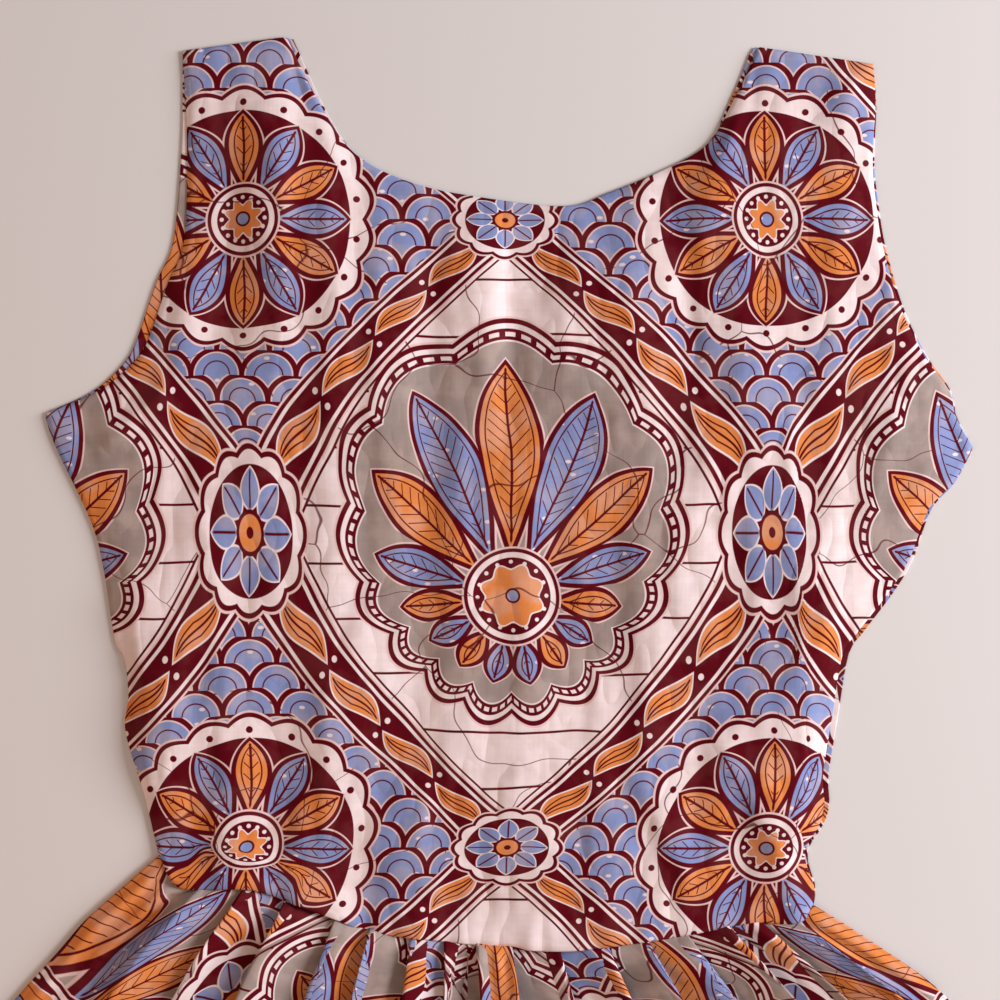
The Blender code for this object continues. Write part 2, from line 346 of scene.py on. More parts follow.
class Sketch:
    """The print as it is drawn on one cloth, colour over colour.

    The cloth is laid out as a trellis of crossing bands. Its cells hold a fan and a roundel in
    turn. Every distance is in millimetres of cloth and below 0 inside a shape.
    """

    FAR = 400.0
    HAIRLINE = 0.35
    HALO = 0.9

    def __init__(self, design: "WaxPrint", x: Value, y: Value, drift: Value) -> None:
        """Find the band, the crossing and the cell that each point of the cloth is near.

        Args:
            design: sizes of the print.
            x: millimetres across the cloth from the print's centre.
            y: millimetres up the cloth from the print's centre.
            drift: slow unevenness of the cloth, as a colour around mid grey.
        """
        self.tree, self.x, self.y, self.drift = x.tree, x, y, drift
        self.colour: Setting = linear_colour(design.ground.value.value)
        wide, tall = design.repeat
        wave = (y * (math.tau / tall)).apply(MATH, operation="SINE")
        across, along = x / wide, (y + wave * design.bulge) / tall
        first, second = across + along, across - along

        off_first = first.apply(MATH, operation="FRACT") - 0.5
        off_second = second.apply(MATH, operation="FRACT") - 0.5
        spread = 1.0 / math.hypot(1.0 / wide, 1.0 / tall)
        to_first, to_second = off_first * spread, off_second * spread
        on_first = abs(to_first).apply(MATH, abs(to_second), operation="LESS_THAN")
        self.band = abs(to_first).apply(MATH, abs(to_second), operation="MINIMUM")
        self.cross = to_second + (to_first - to_second) * on_first
        self.run = (first + (second - first) * on_first) * (math.hypot(wide, tall) / 2.0)
        corner_x = (off_first + off_second) * (wide / 2.0)
        self.crossing = Polar(corner_x, (off_first - off_second) * (tall / 2.0))

        near_first = first.apply(MATH, operation="ROUND")
        near_second = second.apply(MATH, operation="ROUND")
        column, row = near_first + near_second, near_first - near_second
        self.roundel = column.apply(MATH, 1.0, operation="PINGPONG")
        self.off_fans = self.either(0.0, self.FAR)
        self.off_roundels = self.either(self.FAR, 0.0)
        root = y - row * (tall / 2.0) + self.either(design.fan_drop, 0.0)
        self.motif = Polar(x - column * (wide / 2.0), root)

    def either(self, fan: float, roundel: float) -> Value:
        """One number in the cells of the fans and another in those of the roundels."""
        return self.roundel.apply(MATH, roundel - fan, fan, operation="MULTIPLY_ADD")

    def lay(self, ink: Ink, where: Value) -> None:
        """Lay an ink over the colours so far."""
        inputs = {0: where, 6: self.colour, 7: linear_colour(ink.value)}
        self.colour = add_node(self.tree, "ShaderNodeMix", inputs, 2, data_type="RGBA")

    def shape(self, edge: Value, ink: Ink, outline: float, halo: float = HALO) -> None:
        """Draw a filled shape with its burgundy outline and the pale halo round that.

        Args:
            edge: distance past the shape's edge.
            ink: fill of the shape.
            outline: width of the outline.
            halo: width of the halo, which the wax leaves beside an outline.
        """
        if halo:
            self.lay(Ink.HALO, edge.under(outline + halo))
        self.lay(Ink.BURGUNDY, edge.under(outline))
        self.lay(ink, edge.under(0.0))


@dataclass(frozen=True)
class Hairlines:
    """Level lines across the plain ground of the fans' cells."""

    pitch: float = 27.0
    width: float = 0.6

    def draw(self, sketch: Sketch, contour: float) -> None:
        """Draw the lines as far as the contour beside the bands."""
        line = abs(sketch.y.centred(self.pitch)).under(self.width)
        sketch.lay(Ink.BURGUNDY, line * (1.0 - sketch.band.under(contour)))


@dataclass(frozen=True)
class Scales:
    """Rows of round blue scales that fill the roundels' cells."""

    width: float = 25.0
    ridge: float = 1.3
    halo: float = 0.7
    arc: float = 6.4

    def draw(self, sketch: Sketch) -> None:
        """Draw the blue ground, the ridge round each scale and the arc in it.

        Args:
            sketch: the print so far.
        """
        outside, half = sketch.off_roundels, self.width / 2.0
        row = sketch.y / half
        step = row.apply(MATH, operation="FLOOR")
        scale = (sketch.x + step * half).centred(self.width).distance((row - step) * half)
        ridge = abs(scale - half) + outside
        sketch.lay(Ink.BLUE, outside.under(sketch.FAR / 2.0))
        sketch.lay(Ink.HALO, ridge.under(self.ridge + self.halo))
        sketch.lay(Ink.BURGUNDY, ridge.under(self.ridge))
        sketch.lay(Ink.BURGUNDY, (abs(scale - self.arc) + outside).under(sketch.HAIRLINE))


@dataclass(frozen=True)
class Petals:
    """Leaf-shaped petals, in a tall fan in one kind of cell and in a wheel in the other.

    Each pair is the fan's number and the wheel's. A fan's petals are longest at the top: their
    length is a sum with the cosine of their lean and its square.
    """

    counts: tuple[int, int] = (15, 12)
    roots: Row = (22.0, 16.0)
    slimness: Row = (0.108, 0.128)
    swell: Row = (0.62, 0.9)
    fan_length: Row = (55.0, 35.0, 21.0)
    wheel_length: float = 50.0
    outline: float = 2.3
    edge_line: float = 2.5
    vein_pitch: float = 5.6
    vein_slope: float = 1.1
    vein_margin: float = 3.4
    midrib: float = 0.6
    midrib_margin: float = 1.0

    def fan_reach(self, angle: Value) -> Value:
        """Length of a fan's petal.

        Args:
            angle: the petal's lean from straight up.

        Returns:
            The length.
        """
        base, first, second = self.fan_length
        leaning = angle.apply(MATH, operation="COSINE")
        return leaning * first + leaning * leaning * second + base

    def draw(self, sketch: Sketch) -> None:
        """Draw the petals, orange and blue in turn, with their veins.

        Args:
            sketch: the print so far.
        """
        place = sketch.motif
        turn = sketch.either(*self.counts).apply(MATH, -1.0, operation="POWER") * math.tau
        number = (place.angle / turn).apply(MATH, operation="ROUND")
        fan_length = self.fan_reach(number * turn)
        length = fan_length + (self.wheel_length - fan_length) * sketch.roundel
        root = sketch.either(*self.roots)
        share = (place.radius - root) / (length - root)
        start, gain = self.swell
        swell = share * (1.0 - share) * (share * gain + start) * 4.0
        aside = abs((place.angle - number * turn) * place.radius)
        leaf = aside - length * sketch.either(*self.slimness) * swell
        inside, odd = leaf.under(0.0), number.apply(MATH, 1.0, operation="PINGPONG")
        sketch.lay(Ink.HALO, leaf.under(self.outline + sketch.HALO))
        sketch.lay(Ink.BURGUNDY, leaf.under(self.outline))
        sketch.lay(Ink.ORANGE, inside * (1.0 - odd))
        sketch.lay(Ink.BLUE, inside * odd)
        sketch.lay(Ink.BURGUNDY, abs(leaf + self.edge_line).under(sketch.HAIRLINE))
        vein = abs((place.radius - aside * self.vein_slope).centred(self.vein_pitch))
        veined = vein.under(sketch.HAIRLINE) * leaf.under(-self.vein_margin)
        sketch.lay(Ink.BURGUNDY, veined)
        sketch.lay(Ink.BURGUNDY, aside.under(self.midrib) * leaf.under(-self.midrib_margin))


@dataclass(frozen=True)
class Shield:
    """Lobed grey shield behind a fan, with a beaded edge. Sizes count in from its outer edge."""

    margin: float = 12.0
    lobe: float = 7.0
    outline: float = 2.4
    halo: float = 1.1
    dashes: int = 96
    dash_share: float = 0.62
    dash_line: float = 5.0
    dash_width: float = 1.0
    dash_softness: float = 0.06
    stripe: float = 7.6
    field: float = 8.4

    def draw(self, sketch: Sketch, petals: Petals) -> None:
        """Draw the shield a margin past the fan's petals.

        Args:
            sketch: the print so far.
            petals: the fan that the shield goes round.
        """
        place = sketch.motif
        reach = petals.fan_reach(place.angle) + place.lobes(petals.counts[0]) * self.lobe
        rim = place.radius - reach - self.margin + sketch.off_fans
        sketch.shape(rim, Ink.PALE, self.outline, self.halo)
        sketch.lay(Ink.BURGUNDY, rim.under(-self.outline))
        turns = (place.angle / (math.tau / self.dashes)).apply(MATH, operation="FRACT")
        dash = turns.under(self.dash_share, self.dash_softness)
        sketch.lay(Ink.PALE, abs(rim + self.dash_line).under(self.dash_width) * dash)
        sketch.lay(Ink.PALE, rim.under(-self.stripe))
        sketch.lay(Ink.GREY, rim.under(-self.field))


@dataclass(frozen=True)
class Rim:
    """Lobed pale rim of a roundel, with a bead in each lobe and a burgundy field inside."""

    lobes: int = 18
    radius: float = 57.0
    lobe: float = 4.0
    outline: float = 2.2
    halo: float = 1.1
    bead_radius: float = 55.2
    bead: float = 1.6
    field: float = 51.5

    def draw(self, sketch: Sketch) -> None:
        """Draw the rim.

        Args:
            sketch: the print so far.
        """
        place, outside = sketch.motif, sketch.off_roundels
        radius = place.radius + outside
        edge = radius - (place.lobes(self.lobes) * self.lobe + self.radius)
        sketch.shape(edge, Ink.PALE, self.outline, self.halo)
        bead = place.aside(self.lobes).distance(radius - self.bead_radius)
        sketch.lay(Ink.BURGUNDY, bead.under(self.bead))
        sketch.lay(Ink.BURGUNDY, radius.under(self.field))


@dataclass(frozen=True)
class Heart:
    """Pale ring at the petals' root, with beads and a flower in it."""

    radii: Row = (21.0, 15.0)
    outline: float = 1.8
    ring: float = 2.6
    beads: int = 16
    bead_line: float = 4.7
    bead: float = 0.95
    flower: float = 7.4
    flower_points: int = 8
    flower_depth: float = 1.5
    flower_edge: float = 0.8
    eye: float = 2.6
    eye_outline: float = 1.0

    def draw(self, sketch: Sketch) -> None:
        """Draw the heart.

        Args:
            sketch: the print so far.
        """
        place = sketch.motif
        edge = place.radius - sketch.either(*self.radii)
        sketch.shape(edge, Ink.PALE, self.outline)
        sketch.lay(Ink.BURGUNDY, edge.under(-self.ring))
        bead = place.aside(self.beads).distance(edge + self.bead_line)
        sketch.lay(Ink.PALE, bead.under(self.bead))
        points = (place.angle * self.flower_points).apply(MATH, operation="COSINE")
        flower = edge + self.flower + points * self.flower_depth
        sketch.lay(Ink.PALE, flower.under(self.flower_edge))
        sketch.lay(Ink.ORANGE, flower.under(0.0))
        sketch.shape(place.radius - self.eye, Ink.BLUE, self.eye_outline, 0.0)


@dataclass(frozen=True)
class Resist:
    """What the wax leaves: fine cracks that took the dye, and bare specks on the blue."""

    crack_size: float = 62.0
    crack_swerve: float = 58.0
    crack_width: float = 0.0055
    crack_softness: float = 0.005
    crack_strength: float = 0.85
    speck_pitch: float = 11.0
    speck_squeeze: float = 0.6
    speck: float = 0.075
    speck_softness: float = 0.03
    speck_strength: float = 0.9
    blue_lead: float = 0.1
    blue_softness: float = 0.05

    def draw(self, sketch: Sketch) -> None:
        """Draw the cracks off the blue and the specks on it.

        Args:
            sketch: the print so far.
        """
        tree = sketch.tree
        hand = sketch.x.apply("ShaderNodeCombineXYZ", sketch.y)
        swerve = (self.crack_swerve, self.crack_swerve, 0.0)
        bent = sketch.drift.apply(VECTOR_MATH, swerve, hand, operation="MULTIPLY_ADD")
        inputs = {"Vector": bent, "Scale": 1.0 / self.crack_size}
        voronoi = {"voronoi_dimensions": "2D", "feature": "DISTANCE_TO_EDGE"}
        crack = Value(tree, add_node(tree, "ShaderNodeTexVoronoi", inputs, "Distance", **voronoi))
        kind = "ShaderNodeSeparateColor"
        red = Value(tree, add_node(tree, kind, {0: sketch.colour}, "Red"))
        blue = Value(tree, add_node(tree, kind, {0: sketch.colour}, "Blue"))
        off_blue = (blue - red).under(self.blue_lead, self.blue_softness)
        crack = crack.under(self.crack_width, self.crack_softness) * off_blue
        sketch.lay(Ink.BURGUNDY, crack * self.crack_strength)
        squeezed = (sketch.x * self.speck_squeeze).apply("ShaderNodeCombineXYZ", sketch.y)
        inputs = {"Vector": squeezed, "Scale": 1.0 / self.speck_pitch}
        voronoi["feature"] = "F1"
        speck = Value(tree, add_node(tree, "ShaderNodeTexVoronoi", inputs, "Distance", **voronoi))
        speck = speck.under(self.speck, self.speck_softness) * (1.0 - off_blue)
        sketch.lay(Ink.PALE, speck * self.speck_strength)


@dataclass(frozen=True)
class Band:
    """Edged band of the trellis with a chain of leaves in it, and a contour beside it."""

    contour: float = 15.0
    contour_width: float = 0.55
    half_width: float = 10.6
    outline: float = 1.8
    field: float = 9.0
    pitch: float = 39.0
    leaf_reach: float = 17.2
    leaf_half_width: float = 5.4
    leaf_edge: float = 0.8
    sway: float = 2.2
    midrib: float = 0.5
    midrib_margin: float = 1.2
    side_vein: float = 3.1
    side_vein_slope: float = 0.16
    side_vein_margin: float = 1.6
    bead_place: float = 4.6
    bead: float = 1.45

    def draw(self, sketch: Sketch) -> None:
        """Draw the contour, the band's edges, the leaves and the beads between them.

        Args:
            sketch: the print so far.
        """
        contour = abs(sketch.band - self.contour) + sketch.off_fans
        sketch.lay(Ink.BURGUNDY, contour.under(self.contour_width))
        sketch.shape(sketch.band - self.half_width, Ink.PALE, self.outline)
        sketch.lay(Ink.BURGUNDY, sketch.band.under(self.field))
        along = sketch.run.centred(self.pitch)
        bend = (along * (math.tau / self.pitch)).apply(MATH, operation="SINE") * self.sway
        aside = abs(sketch.cross - bend)
        reach = along / self.leaf_reach
        leaf = aside - (1.0 - reach * reach) * self.leaf_half_width
        sketch.lay(Ink.PALE, leaf.under(self.leaf_edge))
        sketch.lay(Ink.ORANGE, leaf.under(0.0))
        sketch.lay(Ink.BURGUNDY, aside.under(self.midrib) * leaf.under(-self.midrib_margin))
        vein = abs(aside - self.side_vein + abs(along) * self.side_vein_slope)
        veined = vein.under(sketch.HAIRLINE) * leaf.under(-self.side_vein_margin)
        sketch.lay(Ink.BURGUNDY, veined)
        between = (sketch.run + self.pitch / 2.0).centred(self.pitch)
        bead = between.distance(abs(sketch.cross) - self.bead_place)
        sketch.lay(Ink.PALE, bead.under(self.bead))


@dataclass(frozen=True)
class Rosette:
    """Small rosette where two bands cross."""

    lobes: int = 12
    radius: float = 22.0
    lobe: float = 2.4
    outline: float = 2.0
    halo: float = 1.0
    field: float = 19.6
    petals: int = 8
    petal_root: float = 6.0
    petal_length: float = 12.6
    petal_width: float = 17.0
    petal_edge: float = 0.8
    midrib: float = 0.4
    eye: float = 5.0
    eye_outline: float = 1.4
    pupil: float = 1.6

    def draw(self, sketch: Sketch) -> None:
        """Draw the rosette over the bands.

        Args:
            sketch: the print so far.
        """
        place = sketch.crossing
        edge = place.radius - (place.lobes(self.lobes) * self.lobe + self.radius)
        sketch.shape(edge, Ink.PALE, self.outline, self.halo)
        sketch.lay(Ink.BURGUNDY, place.radius.under(self.field))
        aside = abs(place.aside(self.petals))
        share = (place.radius - self.petal_root) / self.petal_length
        petal = aside - share * (1.0 - share) * self.petal_width
        sketch.lay(Ink.PALE, petal.under(self.petal_edge))
        sketch.lay(Ink.BLUE, petal.under(0.0))
        sketch.lay(Ink.BURGUNDY, aside.under(self.midrib) * petal.under(-self.petal_edge))
        sketch.shape(place.radius - self.eye, Ink.ORANGE, self.eye_outline, 0.0)
        sketch.lay(Ink.BURGUNDY, place.radius.under(self.pupil))


@dataclass(frozen=True)
class WaxPrint:
    """A generic wax print: a trellis of leaf bands round leaf fans and sunburst roundels.

    Every size is in millimetres of cloth. A fan's cell has its middle at the print's centre, and
    a roundel's cell touches each of its four sides. A fan's root hangs below its cell's middle.
    """

    ground: Ground = Ground.PALE
    centre: Row = (0.0, 262.0)
    repeat: Row = (250.0, 300.0)
    bulge: float = -20.0
    fan_drop: float = 30.0
    wobble: float = 5.0
    wobble_wave: float = 60.0
    wobble_detail: float = 2.0
    wobble_roughness: float = 0.45
    petals: Petals = Petals()
    band: Band = Band()

    def lay(self, cloth: Value) -> Value:
        """Lay the print's colours one over another.

        Args:
            cloth: place on the cloth, in millimetres.

        Returns:
            The print's colour.
        """
        tree = cloth.tree
        inputs = {"Vector": cloth, "Scale": 1.0 / self.wobble_wave}
        inputs |= {"Detail": self.wobble_detail, "Roughness": self.wobble_roughness}
        kind = "ShaderNodeTexNoise"
        drift = Value(tree, add_node(tree, kind, inputs, "Color", noise_dimensions="2D"))
        reach = (self.wobble, self.wobble, 0.0)
        back = (self.centre[0] + self.wobble / 2.0, self.centre[1] + self.wobble / 2.0, 0.0)
        hand = drift.apply(VECTOR_MATH, reach, cloth, operation="MULTIPLY_ADD")
        hand = hand.apply(VECTOR_MATH, back, operation="SUBTRACT")
        x = hand.apply("ShaderNodeSeparateXYZ", output="X")
        y = hand.apply("ShaderNodeSeparateXYZ", output="Y")
        sketch = Sketch(self, x, y, drift)
        Hairlines().draw(sketch, self.band.contour)
        Scales().draw(sketch)
        Shield().draw(sketch, self.petals)
        Rim().draw(sketch)
        self.petals.draw(sketch)
        Heart().draw(sketch)
        Resist().draw(sketch)
        self.band.draw(sketch)
        Rosette().draw(sketch)
        return Value(tree, sketch.colour)


@dataclass(frozen=True)
class WaxPrintedCotton:
    """Plain-woven cotton, wax printed and washed: matt, faintly slubbed, with a soft low sheen.

    The threads are 0.35 mm apart on the real cloth, too fine for the render, so the weave is
    drawn coarse enough to show as a grain. The dye sinks into the threads unevenly, so each
    colour is a little mottled, and small crumples are left between the larger creases.
    """

    name: str
    design: WaxPrint
    thread_pitch: float = 1.3

    # Uneven thickness of the warp and the weft, unevenness of the dye and crumples. Columns:
    # wavelength across and up, and number of finer waves in each.
    warp: Row = (1.6, 26.0, 1.0)
    weft: Row = (26.0, 1.6, 1.0)
    mottle: Row = (16.0, 16.0, 3.0)
    crumple: Row = (18.0, 38.0, 1.0)
    crumple_height: float = 4.4
    slub_height: float = 0.06
    bump: float = 0.55
    slub_tone: float = 0.07
    mottle_tone: float = 0.34
    weave_tone: float = 0.012

    # Tan-grey patches on the lighter colours: painted crumple shade, and dye dulled in the washing.
    shade_and_dull: str = "BFAA9F"
    shade_and_dull_strength: float = 0.34
    shade_and_dull_under: float = 0.47
    shade_and_dull_softness: float = 0.16
    paleness_gain: float = 3.0
    roughness: float = 0.75
    rough_mottle: float = 0.12
    rough_light: float = 0.06
    sheen: float = 0.02
    sheen_roughness: float = 0.4
    specular: float = 0.08

    def make(self) -> bpy.types.Material:
        """Make the material.

        Returns:
            A material that reads the piece's own cloth map.
        """
        material = bpy.data.materials.new(self.name)
        material.use_nodes = True
        tree = material.node_tree
        shader = tree.nodes["Principled BSDF"]
        metres = Value(tree, add_node(tree, "ShaderNodeUVMap", uv_map=CLOTH_MAP))
        flat = metres.apply(VECTOR_MATH, (1.0 / MM,) * 3, operation="MULTIPLY")
        colour = self.design.lay(flat)
        light = colour.apply("ShaderNodeRGBToBW")

        uneven = []
        for across, up, detail in (self.warp, self.weft, self.mottle, self.crumple):
            scale = (1.0 / across, 1.0 / up, 1.0)
            place = flat.apply(VECTOR_MATH, scale, operation="MULTIPLY")
            inputs = {"Vector": place, "Scale": 1.0, "Detail": detail}
            value = add_node(tree, "ShaderNodeTexNoise", inputs, noise_dimensions="2D")
            uneven.append(Value(tree, value))
        warp, weft, mottle, crumple = uneven
        slubs = warp + weft
        beat = math.tau / self.thread_pitch
        threads = flat.apply(VECTOR_MATH, (beat, beat, 0.0), operation="MULTIPLY")
        threads = threads.apply(VECTOR_MATH, operation="SINE")
        weave = threads.apply("ShaderNodeSeparateXYZ", output="X")
        weave *= threads.apply("ShaderNodeSeparateXYZ", output="Y")

        shade = (slubs - 1.0) * self.slub_tone + weave * self.weave_tone + 1.0
        shade += (mottle - 0.5) * self.mottle_tone
        # Painted shade: random patches of the lighter colours go toward the tan grey of shaded
        # crumples.
        paleness = (light * self.paleness_gain).apply(MATH, 1.0, operation="MINIMUM")
        shade_and_dull_patches = (1.0 - mottle).under(self.shade_and_dull_under, self.shade_and_dull_softness)
        shade_and_dull_mask = shade_and_dull_patches * paleness * self.shade_and_dull_strength
        shade_and_dull = {0: shade_and_dull_mask, 6: colour, 7: linear_colour(self.shade_and_dull)}
        colour = Value(tree, add_node(tree, "ShaderNodeMix", shade_and_dull, 2, data_type="RGBA"))
        base = add_node(tree, VECTOR_MATH, {0: colour, 3: shade}, operation="SCALE")
        height = slubs * self.slub_height + abs(crumple - 0.5) * self.crumple_height
        bumped = {"Height": height, "Distance": MM, "Strength": self.bump}
        normal = add_node(tree, "ShaderNodeBump", bumped)
        rough = (mottle - 0.5) * self.rough_mottle + light * self.rough_light + self.roughness
        for name, socket in (("Base Color", base), ("Normal", normal), ("Roughness", rough.socket)):
            tree.links.new(socket, shader.inputs[name])
        shader.inputs["Specular IOR Level"].default_value = self.specular
        shader.inputs["Sheen Weight"].default_value = self.sheen
        shader.inputs["Sheen Roughness"].default_value = self.sheen_roughness
        return material


@dataclass(frozen=True)
class Crease:
    """A crease of the laid cloth along a straight line. A trough has a height below 0."""

    start: Vector
    along: Vector
    width: float
    height: float
    crispness: float
    taken: float
    taper: float = 0.3
    taken_taper: float = 0.15
    taken_width: float = 8.0
    reach: float = 5.0

    def off(self, x: float, y: float) -> tuple[float, float]:
        """Place of a point beside the line.

        Args:
            x: millimetres across.
            y: millimetres up.

        Returns:
            Distance to the right of the line, and the share of the line that it is along.
        """
        place = Vector((x, y)) - self.start
        length = self.along.length
        side = (place.x * self.along.y - place.y * self.along.x) / length
        return side, place.dot(self.along) / length**2

    def lift(self, x: float, y: float) -> float:
        """Height that the crease adds.

        Args:
            x: millimetres across.
            y: millimetres up.

        Returns:
            The height, in millimetres.
        """
        side, share = self.off(x, y)
        if not 0.0 < share < 1.0 or abs(side) > self.width * self.reach:
            return 0.0
        taper = smooth(share / self.taper) * smooth((1.0 - share) / self.taper)
        fall = math.hypot(side, self.crispness) - self.crispness
        return self.height * taper * math.exp(-fall / self.width)

    def swallowed(self, x: float, y: float) -> Vector:
        """How far the flat cloth is shifted by what the crease takes up.

        Args:
            x: millimetres across.
            y: millimetres up.

        Returns:
            The shift, in millimetres.
        """
        if not self.taken:
            return Vector((0.0, 0.0))
        side, share = self.off(x, y)
        taper = smooth(share / self.taken_taper) * smooth((1.0 - share) / self.taken_taper)
        across = Vector((self.along.y, -self.along.x)).normalized()
        return across * (self.taken * taper * smooth(side / self.taken_width + 0.5))


@dataclass
class LaidDress:
    """Edges that the panels share as the dress lies. Columns of the tables: x and y."""

    length: float = 1000.0
    hem_width: float = 900.0
    hem_side_rise: float = 108.0
    hem_roundness: float = 2.2
    hem_steps: int = 12
    wall: float = 1.2
    seam_gap: float = 0.3
    neck_peek: float = 3.0
    neck_hidden: float = 1.5
    left_armhole_peek: float = 6.0
    right_armhole_peek: float = 1.5
    right_side_peek: float = 3.0
    left_strap_share: float = 0.15
    right_strap_share: float = 0.167
    underarm_share: float = 0.54
    waist_seam: Table = (
        (-165.6, 106.4), (-157.0, 93.2), (-143.0, 91.8), (-126.0, 92.0), (-113.8, 89.6),
        (-82.6, 78.1), (-65.8, 71.6), (-27.0, 66.6), (19.2, 62.4), (48.5, 64.2),
        (82.6, 69.0), (105.6, 73.6), (120.0, 75.2), (140.6, 75.9), (147.8, 82.4),
    )
    left_side: Table = (
        (-165.6, 106.4), (-172.8, 136.2), (-181.9, 166.9), (-180.5, 184.0), (-182.5, 202.0),
        (-187.2, 212.0), (-192.5, 245.1), (-198.7, 268.2), (-215.5, 303.7), (-220.8, 319.5),
    )
    right_side: Table = (
        (147.8, 82.4), (148.3, 92.0), (143.6, 108.8), (150.6, 122.0), (153.1, 131.8),
        (152.4, 146.0), (156.5, 172.6), (161.8, 203.8), (168.5, 213.9), (183.8, 233.6),
        (193.9, 249.9), (203.0, 273.4), (214.6, 285.9), (224.6, 302.7),
    )
    left_armhole: Table = (
        (-220.8, 319.5), (-195.4, 330.1), (-179.5, 342.6), (-171.8, 353.1), (-161.8, 381.4),
        (-154.6, 398.2), (-152.6, 422.2), (-152.6, 455.8), (-154.6, 493.3),
    )
    right_armhole: Table = (
        (224.6, 302.7), (216.0, 318.1), (213.1, 330.1), (200.6, 347.8), (189.6, 370.4),
        (181.4, 398.2), (178.1, 417.9), (176.2, 440.0), (177.6, 468.3), (176.6, 487.0),
    )
    neckline: Table = (
        (-105.1, 500.0), (-86.4, 463.5), (-70.6, 442.9), (-45.6, 430.4), (-15.4, 423.7),
        (28.3, 418.9), (50.4, 425.6), (73.4, 435.2), (97.0, 448.6), (111.4, 473.1),
        (121.4, 495.2),
    )
    left_skirt_side: Table = (
        (-181.0, 94.4), (-200.6, 77.1), (-213.6, 62.2), (-235.2, 38.2), (-262.0, 5.0),
        (-305.0, -62.0), (-350.0, -140.0), (-395.0, -232.0), (-430.0, -318.0),
        (-450.0, -392.0),
    )
    right_skirt_side: Table = (
        (163.7, 74.2), (184.8, 60.3), (202.6, 47.8), (218.0, 33.0), (248.0, 0.0),
        (294.0, -64.0), (343.0, -142.0), (390.0, -234.0), (428.0, -320.0), (450.0, -392.0),
    )

    @property
    def front_low(self) -> float:
        """Height of the middle of the front's cloth where it lies lowest, in metres."""
        return (self.wall * 1.5 + self.seam_gap) * MM

    def bodice(self, left: Table, right: Table, right_side: Table, neck: Table) -> Outline:
        """Bodice panel inside its edges.

        Args:
            left: left armhole, from the underarm to the shoulder.
            right: right armhole, the same way.
            right_side: right side seam, from the waist to the underarm.
            neck: neckline from left to right.

        Returns:
            The panel's outline, read from the waist up.
        """
        neck_share = 1.0 - self.left_strap_share - self.right_strap_share
        top = Chain(
            (Edge((left[-1], neck[0])), self.left_strap_share),
            (Edge(neck), neck_share),
            (Edge((neck[-1], right[-1])), self.right_strap_share),
        )
        over_arm = 1.0 - self.underarm_share
        left_edge = Chain((Edge(self.left_side), self.underarm_share), (Edge(left), over_arm))
        right_edge = Chain((Edge(right_side), self.underarm_share), (Edge(right), over_arm))
        return Outline(Edge(self.waist_seam), right_edge, top, left_edge)

    def front(self) -> Outline:
        """Bodice front as it lies."""
        return self.bodice(self.left_armhole, self.right_armhole, self.right_side, self.neckline)

    def back(self) -> Outline:
        """Bodice back, which shows a few millimetres past the front.

        Returns:
            The panel's outline, read from the waist up.
        """
        edges = (
            (self.left_armhole, -self.left_armhole_peek),
            (self.right_armhole, self.right_armhole_peek),
            (self.right_side, self.right_side_peek),
        )
        return self.bodice(*(self.peeking(*edge) for edge in edges), self.back_neck())

    @staticmethod
    def peeking(edge: Table, peek: float) -> Table:
        """Move an edge sideways, most at its middle and not at its ends.

        Args:
            edge: the edge as the front has it.
            peek: how far its middle moves to the right.

        Returns:
            The edge as the back has it.
        """
        bulge = [peek * math.sin(math.pi * i / (len(edge) - 1)) for i in range(len(edge))]
        return tuple((x + shift, y) for (x, y), shift in zip(edge, bulge))

    def back_neck(self) -> Table:
        """Neckline of the back, inside the front's at the straps and hidden by it in the middle.

        Returns:
            The neckline from left to right.
        """
        low = min(y for _, y in self.neckline)
        moved = []
        for x, y in self.neckline:
            height = (y - low) / (self.neckline[0][1] - low)
            inward = math.copysign(self.neck_peek * height, x)
            moved.append((x - inward, y - self.neck_hidden * (1.0 - height)))
        return tuple(moved)

    def skirt(self, tuck: float) -> Outline:
        """Skirt panel, with its waist tucked under the bodice's.

        Args:
            tuck: how far the waist goes up under the bodice.

        Returns:
            The panel's outline, read from the waist down.
        """
        hem = []
        for step in range(-self.hem_steps, self.hem_steps + 1):
            rise = self.hem_side_rise * abs(step / self.hem_steps) ** self.hem_roundness
            hem.append((self.hem_width / 2.0 * step / self.hem_steps, rise - self.length / 2.0))
        waist = tuple((x, y + tuck) for x, y in self.waist_seam)
        left = Edge((waist[0], *self.left_skirt_side))
        right = Edge((waist[-1], *self.right_skirt_side))
        return Outline(Edge(waist), right, Edge(hem), left)


